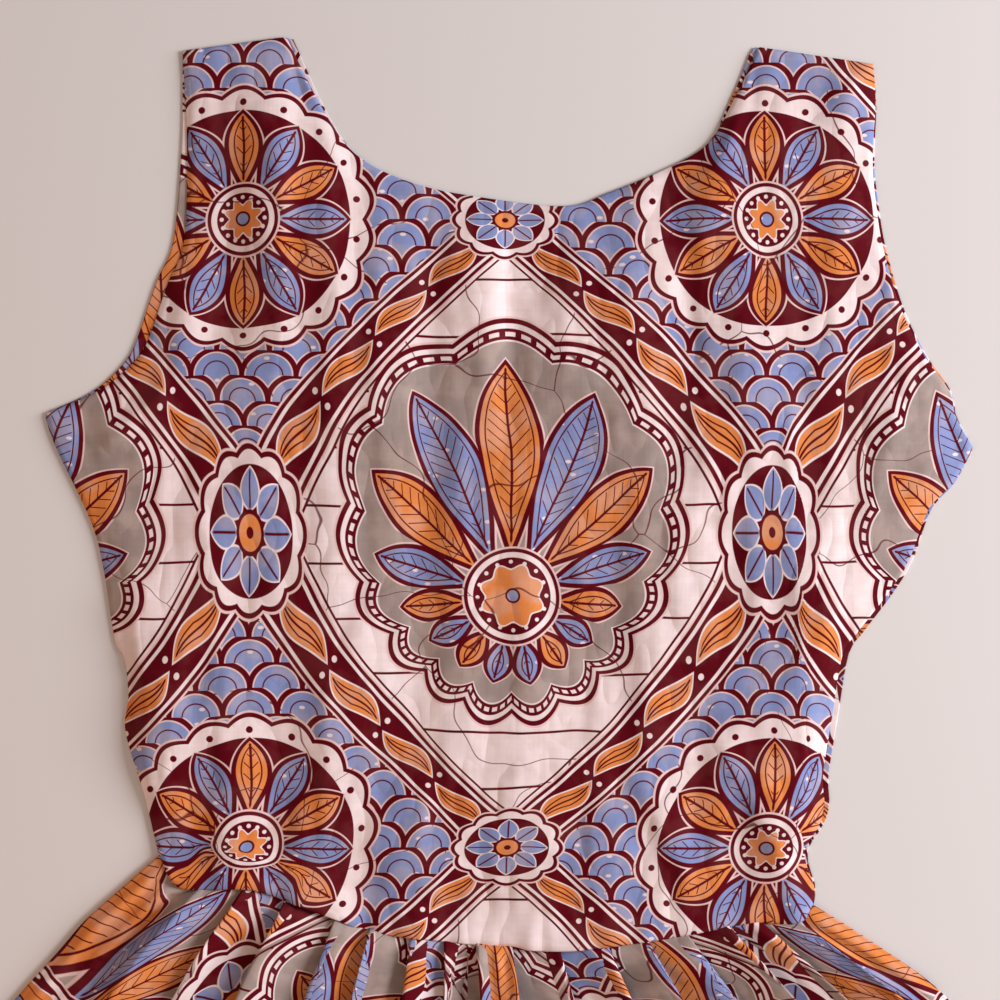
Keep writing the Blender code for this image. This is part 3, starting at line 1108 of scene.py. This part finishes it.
@dataclass
class Panel:
    """One cut piece of cloth: a sheet over a grid of places, with the thickness of the cloth."""

    node: str
    columns: Sequence[float]
    rows: Sequence[float]
    place: Callable[[float, float], tuple[Vector, Vector]]
    finish: bpy.types.Material
    flat: Row
    held: str
    thickness: float = 0.4

    def build(self) -> bpy.types.Object:
        """Make the sheet, dress it and set it in the place of its node.

        Returns:
            The finished piece.
        """
        bm = bmesh.new()
        across, up = len(self.columns) - 1, len(self.rows) - 1
        bmesh.ops.create_grid(bm, x_segments=across, y_segments=up, size=1.0)
        cloth = bm.loops.layers.uv.new(CLOTH_MAP)
        flat: dict[bmesh.types.BMVert, Vector] = {}
        for vert in bm.verts:
            column = round((vert.co.x + 1.0) / 2.0 * across)
            row = round((vert.co.y + 1.0) / 2.0 * up)
            vert.co, flat[vert] = self.place(self.columns[column], self.rows[row])
        for face in bm.faces:
            face.smooth = True
            for loop in face.loops:
                loop[cloth].uv = flat[loop.vert]
        bmesh.ops.recalc_face_normals(bm, faces=bm.faces)
        if sum(face.normal.z for face in bm.faces) < 0.0:
            bmesh.ops.reverse_faces(bm, faces=bm.faces)
        mesh = bpy.data.meshes.new(self.node + "_cloth")
        bm.to_mesh(mesh)
        bm.free()
        mesh.materials.append(self.finish)
        obj = bpy.data.objects.new(self.node + "_cloth", mesh)
        bpy.context.scene.collection.objects.link(obj)
        wall = obj.modifiers.new("thickness", "SOLIDIFY")
        wall.thickness, wall.offset = self.thickness * MM, 0.0
        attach(obj, BODY)
        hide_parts(self.node)
        area = sum(polygon.area for polygon in mesh.polygons)
        min(area, self.flat[0] * self.flat[1])
        LOG.info("%s: %d faces, %.3f square metres", obj.name, len(mesh.polygons), area)
        return obj


@dataclass
class Bodice:
    """Bodice front and back, cut in one piece each, without darts or panel seams."""

    dress: LaidDress
    faces: tuple[int, int] = (168, 160)
    edge_steps: Row = (0.0, 0.002, 0.005, 0.009, 0.014)
    cut: Row = (0.47, 0.46)

    # Rise of the cloth from its edges and its roll over the waist seam. A reach is how far from
    # the edge the rise is complete.
    crown: float = 2.0
    crown_reach: float = 50.0
    loft: float = 0.6
    fold_reach: float = 16.0
    waist_rise: float = 3.2
    waist_rise_reach: float = 22.0
    waist_rise_side: float = 14.0
    edge_roll: float = 1.0
    edge_roll_reach: float = 2.6

    # Unevenness between the creases. Columns: wavelength across and up, height.
    unevenness: Table = (
        (24.0, 130.0, 2.7),
        (62.0, 58.0, 2.6),
        (15.0, 30.0, 1.15),
        (7.0, 9.0, 0.16),
    )
    pucker: float = 0.9
    pucker_wave: float = 8.0
    pucker_reach: float = 16.0
    pucker_seed: float = 4.0

    # The back lies under the front: wavelength, height and seed of its unevenness, and where the
    # print's centre lies on it.
    back_wave: float = 40.0
    back_height: float = 0.25
    back_seed: float = 3.0
    back_print: Row = (85.0, 81.0)

    # Creases of the front as it lies. A trough has a height below 0.
    # Columns: x and y of one end, x and y of the other end, width, height, crispness of the
    # crest, and how much cloth the crease takes up.
    creases: Table = (
        (-105.6, 482.0, -108.0, 312.0, 16.0, 4.2, 0.8, 0.0),
        (-132.0, 470.0, -134.0, 330.0, 9.0, -1.6, 2.0, 0.0),
        (2.0, 426.0, 4.0, 300.0, 11.0, -2.8, 0.8, 0.0),
        (133.0, 340.0, 147.0, 112.0, 16.0, 4.6, 0.8, 3.2),
        (-177.0, 252.0, -172.0, 146.0, 9.0, 3.0, 2.0, 0.0),
        (-146.0, 250.0, -167.0, 122.0, 9.0, 2.4, 0.7, 0.0),
        (-156.0, 236.0, -172.0, 140.0, 5.0, 1.4, 0.6, 0.0),
        (-150.0, 114.0, -92.0, 99.0, 6.0, 3.4, 0.5, 7.0),
        (96.0, 176.0, 142.0, 88.0, 11.0, 3.2, 1.0, 0.0),
        (54.0, 160.0, 96.0, 80.0, 12.0, 2.6, 1.0, 0.0),
        (114.0, 154.0, 148.0, 110.0, 7.0, 1.8, 0.8, 0.0),
        (172.0, 258.0, 192.0, 338.0, 12.0, 2.8, 1.0, 0.0),
        (-198.0, 298.0, -154.0, 338.0, 11.0, 2.6, 1.0, 0.0),
        (-60.0, 414.0, -66.0, 290.0, 12.0, 1.8, 1.0, 0.0),
        (48.0, 408.0, 54.0, 286.0, 12.0, 2.0, 1.0, 0.0),
        (86.0, 424.0, 94.0, 306.0, 10.0, -1.8, 1.2, 0.0),
        (-120.0, 250.0, -124.0, 104.0, 12.0, 2.0, 1.0, 0.0),
        (-84.0, 220.0, -88.0, 82.0, 11.0, 2.0, 1.2, 0.0),
        (-40.0, 196.0, -42.0, 70.0, 11.0, 1.8, 1.2, 0.0),
        (4.0, 158.0, 6.0, 64.0, 11.0, 1.9, 1.2, 0.0),
        (34.0, 186.0, 46.0, 66.0, 11.0, 1.8, 1.2, 0.0),
        (-152.0, 304.0, -138.0, 232.0, 10.0, 2.0, 1.2, 0.0),
        (168.0, 250.0, 144.0, 192.0, 10.0, 2.2, 1.0, 0.0),
        (-20.0, 330.0, -28.0, 214.0, 14.0, 1.4, 1.6, 0.0),
        (78.0, 300.0, 84.0, 190.0, 13.0, 1.5, 1.6, 0.0),
    )

    def spaced(self, count: int) -> list[float]:
        """Lines of the mesh, close together at both ends.

        Args:
            count: number of even steps between the edge steps.

        Returns:
            Shares from 0 to 1.
        """
        first = self.edge_steps[-1]
        middle = [mix(first, 1.0 - first, i / count) for i in range(count + 1)]
        return [*self.edge_steps[:-1], *middle, *(1.0 - s for s in reversed(self.edge_steps[:-1]))]

    def build(self, finish: bpy.types.Material) -> list[bpy.types.Object]:
        """Make both panels.

        Args:
            finish: the printed cotton.

        Returns:
            The front and the back.
        """
        pieces = []
        cloths = (("bodice_front", CreasedCloth(self), 1), ("bodice_back", UnderCloth(self), 2))
        for node, cloth, coarser in cloths:
            lines = [self.spaced(count // coarser) for count in self.faces]
            pieces.append(Panel(node, *lines, cloth.place, finish, self.cut, "laid").build())
        return pieces


class CreasedCloth:
    """Cloth of the bodice front as it lies, with its creases."""

    def __init__(self, bodice: Bodice) -> None:
        """Set out the panel and its creases.

        Args:
            bodice: sizes of the bodice.
        """
        self.bodice, self.outline = bodice, bodice.dress.front()
        self.creases = [
            Crease(Vector((x0, y0)), Vector((x1 - x0, y1 - y0)), *rest)
            for x0, y0, x1, y1, *rest in bodice.creases
        ]

    def fold(self, x: float, y: float) -> float:
        """Height of the creases and of the low unevenness between them.

        Args:
            x: millimetres across.
            y: millimetres up.

        Returns:
            The height, in millimetres.
        """
        folds = sum(crease.lift(x, y) for crease in self.creases)
        return folds + sum(
            height * noise.noise(Vector((x / across, y / up, across)))
            for across, up, height in self.bodice.unevenness
        )

    def place(self, across: float, up: float) -> tuple[Vector, Vector]:
        """Place of a point of the cloth, and its place on the flat cloth.

        Args:
            across: share of the width from the left edge.
            up: share of the way from the waist to the shoulders.

        Returns:
            The place in the frame and the place on the cloth map, in metres.
        """
        bodice, outline = self.bodice, self.outline
        point = outline.at(across, up)
        x, y = point / MM
        edges = (outline.at(0.0, up), outline.at(1.0, up), outline.at(across, 1.0))
        edge_gap = min((point - edge).length for edge in edges) / MM
        waist_gap = (point - outline.at(across, 0.0)).length / MM
        swell = smooth(edge_gap / bodice.crown_reach)
        lift = swell * bodice.crown * smooth(waist_gap / bodice.crown_reach)
        lift += smooth(edge_gap / bodice.fold_reach) * (self.fold(x, y) + bodice.loft)
        rise = bodice.waist_rise * (1.0 - smooth(waist_gap / bodice.waist_rise_reach))
        pucker = noise.noise(Vector((x / bodice.pucker_wave, 0.0, bodice.pucker_seed)))
        rise += bodice.pucker * pucker * (1.0 - smooth(waist_gap / bodice.pucker_reach))
        lift += rise * smooth(edge_gap / bodice.waist_rise_side)
        roll = 1.0 - smooth(min(edge_gap, waist_gap) / bodice.edge_roll_reach)
        lift = max(lift - bodice.edge_roll * roll, -bodice.edge_roll)
        taken = sum((crease.swallowed(x, y) for crease in self.creases), Vector((0.0, 0.0)))
        return Vector((*point, bodice.dress.front_low + lift * MM)), point + taken * MM


class UnderCloth:
    """Cloth of the bodice back, which lies flat under the front."""

    def __init__(self, bodice: Bodice) -> None:
        """Set out the panel.

        Args:
            bodice: sizes of the bodice.
        """
        self.bodice, self.outline = bodice, bodice.dress.back()

    def place(self, across: float, up: float) -> tuple[Vector, Vector]:
        """Place of a point of the cloth, and its place on the flat cloth.

        Args:
            across: share of the width from the left edge.
            up: share of the way from the waist to the shoulders.

        Returns:
            The place in the frame and the place on the cloth map, in metres.
        """
        bodice = self.bodice
        point = self.outline.at(across, up)
        bump = noise.noise(Vector((*(point / MM / bodice.back_wave), bodice.back_seed)))
        height = (bodice.dress.wall / 2.0 + bodice.back_height * bump) * MM
        x, y = bodice.back_print
        return Vector((*point, height)), Vector((x * MM - point.x, point.y - y * MM))


@dataclass
class Skirt:
    """Skirt front and back, each a rectangle of cloth laid in pressed pleats at the waist."""

    dress: LaidDress
    cut: Row = (1.0, 0.6)
    tuck: float = 1.5

    # Distance of each pleat's edge from the middle of the centre box pleat, along the waist, and
    # the cloth before the first edge and after the last one, in pleats.
    left_pleats: Row = (9.0, 24.5, 41.0, 61.0, 78.0, 103.0, 124.0, 143.5)
    right_pleats: Row = (9.0, 32.0, 55.0, 74.0, 93.0, 113.0, 129.0, 146.0)
    box_pleat_x: float = -6.7
    box_start: float = 0.80
    last_extent: float = 0.45

    # Height of the folds down the skirt, and the share of a pleat over which a fold is rounded.
    # First column: share of the way down.
    heights: Table = (
        (0.0, 1.6), (0.006, 4.2), (0.015, 7.0), (0.04, 9.4),
        (0.12, 10.2), (0.36, 9.8), (0.65, 9.2), (1.0, 10.5),
    )
    softness: Table = ((0.0, 0.015), (0.03, 0.04), (0.1, 0.07), (0.3, 0.11), (1.0, 0.16))
    rounding: Row = (-1.0, -0.5, 0.0, 0.5, 1.0)
    back_height: float = 0.9

    # Form of one pleat: height of the box pleat's middle, least cloth in a fold, most of the
    # cloth that its inner side takes, how far it may lie open, and the curve of its outer side.
    box_height: float = 0.94
    least_spare: float = 2.0
    most_inner: float = 0.6
    most_open: float = 0.3
    outer_curve: float = 1.7

    # How the pleats differ: in height, and in how they wander on their way down.
    unevenness: float = 0.18
    uneven_step: float = 2.4
    wander: float = 2.6
    wander_waves: Row = (3.7, 3.1)
    wander_start: float = 0.3
    wander_seed: float = 8.0

    # Low billows: wavelength across and down, and height.
    billow: Row = (46.0, 70.0, 0.8)
    billow_start: float = 0.05
    billow_seed: float = 5.0

    # Small gathers that run down from the waist seam, lower between the pleats.
    gather: float = 3.2
    gather_width: float = 8.0
    gather_start: float = 0.015
    gather_reach: float = 0.4
    gather_waves: float = 9.0
    gather_least: float = 0.4
    gather_seed: float = 7.0

    # The side seams lie down, and soft ridges run beside them.
    side_settle: float = 0.018
    side_ridges: int = 2
    side_ridge: float = 0.5

    # Turned-up hem: rows of the mesh from the edge, and what it adds to the height.
    hem_rows: Row = (23.5, 22.5, 22.0, 21.5, 20.5, 15.0, 8.0, 3.0, 1.0, 0.0)
    hem_heights: Table = (
        (0.0, -0.3), (1.0, 0.3), (3.0, 0.5), (20.5, 0.5), (22.0, -0.25), (23.5, 0.0),
    )
    lowest: float = 0.3

    # Lines of the mesh: rows below the waist, and places within one pleat, whose edge is at 0 and
    # whose inner fold is at fold_at. The middle of the box pleat is at box_from.
    rows: int = 112
    row_growth: float = 1.35
    box_from: float = 0.6
    box_lines: int = 8
    fold_at: float = 0.4
    lines: Row = (
        0.0, 0.03, 0.07, 0.14, 0.20, 0.26, 0.33, 0.37, 0.40,
        0.43, 0.48, 0.55, 0.63, 0.71, 0.79, 0.86, 0.92, 0.965,
    )

    @property
    def pleat_cloth(self) -> float:
        """Millimetres of cloth in one whole pleat."""
        pleats = len(self.left_pleats) + self.last_extent - self.box_start
        return self.cut[0] / 2.0 / MM / pleats

    def half(self) -> list[float]:
        """Lines of the mesh from the middle to one side.

        Returns:
            Each line's pleat as the whole part, and its place in the pleat as the rest.
        """
        count = len(self.left_pleats)
        middle = [mix(self.box_from, 1.0, i / self.box_lines) for i in range(1, self.box_lines)]
        pleats = [pleat + line for pleat in range(1, count + 1) for line in self.lines]
        return [*middle, *pleats, count + 1.0]

    def build(self, finish: bpy.types.Material) -> list[bpy.types.Object]:
        """Make both panels.

        Args:
            finish: the printed cotton.

        Returns:
            The front and the back.
        """
        half = self.half()
        columns = [*(-line for line in reversed(half)), self.box_from, *half]
        hem = [1.0 - row * MM / self.cut[1] for row in self.hem_rows]
        rows = [hem[0] * (row / self.rows) ** self.row_growth for row in range(self.rows)]
        even = ((0.0, self.back_height), (1.0, self.back_height))
        pieces = []
        for node, cloth in (
            ("skirt_front", PleatedCloth(self, self.heights, self.dress.front_low, 1.0)),
            ("skirt_back", PleatedCloth(self, even, self.dress.wall * MM, -1.0)),
        ):
            panel = Panel(node, columns, [*rows, *hem], cloth.place, finish, self.cut, "gathered")
            pieces.append(panel.build())
        return pieces


class PleatedCloth:
    """One skirt panel in its pleats: knife pleats on both sides of a box pleat.

    A side is -1 for the left half and 1 for the right half. A share down is of the length below
    the waist. A line's whole part is its pleat, and the rest is its place in the pleat.
    """

    NEARLY_ONE = 0.99999

    def __init__(self, skirt: Skirt, heights: Table, low: float, upward: float) -> None:
        """Measure the waist and set out the pleats.

        Args:
            skirt: sizes of the skirt.
            heights: height of the folds down the skirt, in millimetres.
            low: height of the inner folds, in metres.
            upward: 1 where the folds stand up from the inner folds, -1 where they hang down.
        """
        self.skirt, self.heights, self.low, self.upward = skirt, heights, low, upward
        self.outline = skirt.dress.skirt(skirt.tuck)
        waist = self.outline.bottom
        at_x = (i for i, point in enumerate(waist.points) if point.x >= skirt.box_pleat_x * MM)
        self.middle = waist.length * waist.shares[next(at_x)]
        self.length = waist.length
        self.count = len(skirt.left_pleats)
        self.total = self.count + skirt.last_extent

    def waist_share(self, side: float, pleat: int) -> float:
        """Share of the waist at which a pleat's edge lies.

        Args:
            side: half of the skirt.
            pleat: the pleat, counted from the middle.

        Returns:
            The share, from the left.
        """
        edges = self.skirt.left_pleats if side < 0.0 else self.skirt.right_pleats
        if pleat == 0:
            return self.middle / self.length
        if pleat > len(edges):
            return 0.0 if side < 0.0 else 1.0
        return (self.middle + side * edges[pleat - 1] * MM) / self.length

    @cache
    def crest(self, side: float, pleat: int, down: float) -> float:
        """Share of the skirt's width at which a pleat's edge lies.

        Args:
            side: half of the skirt.
            pleat: the pleat, counted from the middle.
            down: share down.

        Returns:
            The share, from the left.
        """
        skirt, start = self.skirt, self.skirt.box_start
        phase = min(max(float(pleat), start), self.total)
        at_hem = (1.0 + side * (phase - start) / (self.total - start)) / 2.0
        share = mix(self.waist_share(side, pleat), at_hem, 2.0 * smooth(down / 2.0))
        if not 0 < pleat <= self.count:
            return share
        step, waves = skirt.wander_waves
        drift = noise.noise(Vector((pleat * step * side, down * waves, skirt.wander_seed)))
        drift *= skirt.wander * MM * smooth(down / skirt.wander_start)
        return share + drift / self.width(down)

    @cache
    def width(self, down: float) -> float:
        """Width of the laid skirt at this share down, in metres."""
        return (self.outline.right.at(down) - self.outline.left.at(down)).length

    def height(self, pleat: int, down: float) -> float:
        """Height of one pleat's fold in millimetres."""
        uneven = 1.0 + self.skirt.unevenness * math.sin(self.skirt.uneven_step * pleat)
        return read(self.heights, down) * uneven

    def folded(self, side: float, line: float, down: float) -> Row:
        """Cross-section of the pleats, which is mirrored past the box pleat's middle.

        Args:
            side: half of the skirt.
            line: line in the pleats.
            down: share down.

        Returns:
            Share across the skirt, height from 0 to 1, and pleats of cloth from the middle.
        """
        skirt = self.skirt
        if line < skirt.box_from:
            across, rise, cloth = self.folded(side, 2.0 * skirt.box_from - line, down)
            return 2.0 * self.crest(side, 0, down) - across, rise, 2.0 * skirt.box_start - cloth
        line = min(line, self.count + self.NEARLY_ONE)
        pleat = int(line)
        place = line - pleat
        crest, following = self.crest(side, pleat, down), self.crest(side, pleat + 1, down)
        if pleat == 0:
            share = (place - skirt.box_from) / (1.0 - skirt.box_from)
            ends = ((crest, following), (skirt.box_height, 1.0), (skirt.box_start, 1.0))
            return tuple(mix(start, end, share) for start, end in ends)
        extent = skirt.last_extent if pleat == self.count else 1.0
        cloth = skirt.pleat_cloth * extent
        laid = abs(following - crest) * self.width(down) / MM
        spare = max(cloth - laid, skirt.least_spare)
        steep = (self.height(pleat, down) / spare) ** 2
        under = min(spare * (1.0 + steep) / 2.0, cloth * skirt.most_inner) / skirt.pleat_cloth
        lap = max(spare * (1.0 - steep) / 2.0, -laid * skirt.most_open)
        inner = crest - side * lap * MM / self.width(down)
        if place < skirt.fold_at:
            share = place / skirt.fold_at
            return mix(crest, inner, share), 1.0 - share, pleat + under * share
        share = (place - skirt.fold_at) / (1.0 - skirt.fold_at)
        rise = share**skirt.outer_curve
        if pleat == self.count:
            rise = skirt.side_ridge * math.sin(math.pi * skirt.side_ridges * share) ** 2
        return mix(inner, following, share), rise, mix(pleat + under, pleat + extent, share)

    def fine(self, point: Vector, run: float, side: float, down: float, rise: float) -> float:
        """Height of the billows and gathers.

        Args:
            point: place on the surface, in metres.
            run: cloth from the middle, in pleats.
            side: half of the skirt.
            down: share down.
            rise: height in the pleat, from 0 to 1.

        Returns:
            The height, in millimetres.
        """
        skirt = self.skirt
        x, y = point / MM
        across, along, height = skirt.billow
        billow = noise.noise(Vector((x / across, y / along, skirt.billow_seed)))
        billow *= height * smooth(down / skirt.billow_start)
        width = run * skirt.pleat_cloth / skirt.gather_width
        seed = side * skirt.gather_seed
        gather = skirt.gather * noise.noise(Vector((width, down * skirt.gather_waves, seed)))
        gather *= smooth(down / skirt.gather_start) * (1.0 - smooth(down / skirt.gather_reach))
        return billow + gather * mix(skirt.gather_least, 1.0, rise)

    def place(self, column: float, down: float) -> tuple[Vector, Vector]:
        """Place of a point of the cloth, and its place on the flat cloth.

        Args:
            column: line of the mesh, below 0 on the left half.
            down: share down.

        Returns:
            The place in the frame and the place on the cloth map, in metres.
        """
        skirt = self.skirt
        side = math.copysign(1.0, column)
        last = self.count + self.NEARLY_ONE
        line = min(abs(column), last)
        soft = read(skirt.softness, down)
        samples = [self.folded(side, line + step * soft, down) for step in skirt.rounding]
        across, rise, cloth = (sum(values) / len(samples) for values in zip(*samples))
        if line >= last:
            across, rise, cloth = self.crest(side, self.count + 1, down), 0.0, self.total
        settle = smooth(min(across, 1.0 - across) / skirt.side_settle)
        point = self.outline.at(across, down)
        height = self.height(round(line), down) * rise * settle
        if self.upward > 0.0:
            fine = self.fine(point, cloth, side, down, rise)
            fine += read(skirt.hem_heights, (1.0 - down) * skirt.cut[1] / MM)
            height += max(fine, -height - skirt.lowest) * settle
        spread = side * (cloth - skirt.box_start) * skirt.pleat_cloth * MM
        flat = Vector((spread, -down * skirt.cut[1]))
        return Vector((*point, self.low + self.upward * height * MM)), flat


@dataclass(frozen=True)
class Lamp:
    """A soft square light that faces the bodice. Its place, in metres, is from the aim."""

    name: str
    place: Row
    size: float
    power: float
    colour: str

    def hang(self, aim: Row) -> None:
        """Hang the light so that it faces the point aimed at.

        Args:
            aim: the point, in metres.
        """
        lamp = bpy.data.lights.new(self.name, "AREA")
        lamp.shape, lamp.size, lamp.energy = "SQUARE", self.size, self.power
        lamp.color = linear_colour(self.colour)[:3]
        light = bpy.data.objects.new(self.name, lamp)
        bpy.context.scene.collection.objects.link(light)
        away = Vector(self.place)
        turned = away.to_track_quat("Z", "Y").to_matrix().to_4x4()
        light.matrix_world = Matrix.Translation(Vector(aim) + away) @ turned


@dataclass(frozen=True)
class Studio:
    """Pale floor, low soft daylight from the right, warm room light and a camera straight above.

    Its sizes are in metres, and the sensor's in millimetres.
    """

    view_side: float = 0.48
    view_height: float = 1.2
    sensor: float = 36.0
    aim: Row = (-0.0024, 0.278, 0.0)
    floor_size: float = 12.0
    floor_colour: str = "DBD7D4"
    floor_roughness: float = 0.9
    lamps: tuple[Lamp, ...] = (
        Lamp("daylight", (1.78, 0.20, 0.78), 1.0, 58.0, "FBFAFF"),
        Lamp("room_light", (-1.20, -0.70, 1.20), 1.4, 9.5, "FFB672"),
    )
    room_colour: str = "F4F2F6"
    room_strength: float = 0.28

    def build(self) -> None:
        """Set up the floor, the lights, the room and the camera."""
        self.floor()
        for lamp in self.lamps:
            lamp.hang(self.aim)
        self.camera()
        world = bpy.data.worlds.new("room")
        bpy.context.scene.world = world
        world.use_nodes = True
        background = world.node_tree.nodes["Background"]
        background.inputs["Color"].default_value = linear_colour(self.room_colour)
        background.inputs["Strength"].default_value = self.room_strength
        bpy.context.scene.view_settings.view_transform = "Standard"
        LOG.info("studio: floor, %d lights and a camera", len(self.lamps))

    def floor(self) -> None:
        """Lay a plain floor of matt pale paint, which shows soft shadows and no gloss."""
        bm = bmesh.new()
        bmesh.ops.create_grid(bm, x_segments=1, y_segments=1, size=self.floor_size / 2.0)
        mesh = bpy.data.meshes.new("floor")
        bm.to_mesh(mesh)
        bm.free()
        material = bpy.data.materials.new("matt_painted_floor")
        material.use_nodes = True
        shader = material.node_tree.nodes["Principled BSDF"]
        shader.inputs["Base Color"].default_value = linear_colour(self.floor_colour)
        shader.inputs["Roughness"].default_value = self.floor_roughness
        mesh.materials.append(material)
        floor = bpy.data.objects.new("floor", mesh)
        bpy.context.scene.collection.objects.link(floor)

    def camera(self) -> None:
        """Look straight down at the bodice, with +Y up in the picture."""
        lens = bpy.data.cameras.new("camera")
        lens.sensor_width = self.sensor
        lens.lens = self.sensor * self.view_height / self.view_side
        camera = bpy.data.objects.new("camera", lens)
        bpy.context.scene.collection.objects.link(camera)
        camera.location = Vector(self.aim) + Vector((0.0, 0.0, self.view_height))
        bpy.context.scene.camera = camera


def main() -> None:
    """Build the studio and the dress, panel by panel."""
    logging.basicConfig(level=logging.INFO, format="%(name)s: %(message)s")
    Studio().build()
    dress = LaidDress()
    upper = WaxPrintedCotton("wax_printed_cotton", WaxPrint()).make()
    lower_print = WaxPrint(ground=Ground.GREY, centre=(0.0, -70.0))
    lower = WaxPrintedCotton("wax_printed_cotton_skirt", lower_print).make()
    Bodice(dress).build(upper)
    Skirt(dress).build(lower)


if __name__ == "__main__":
    main()
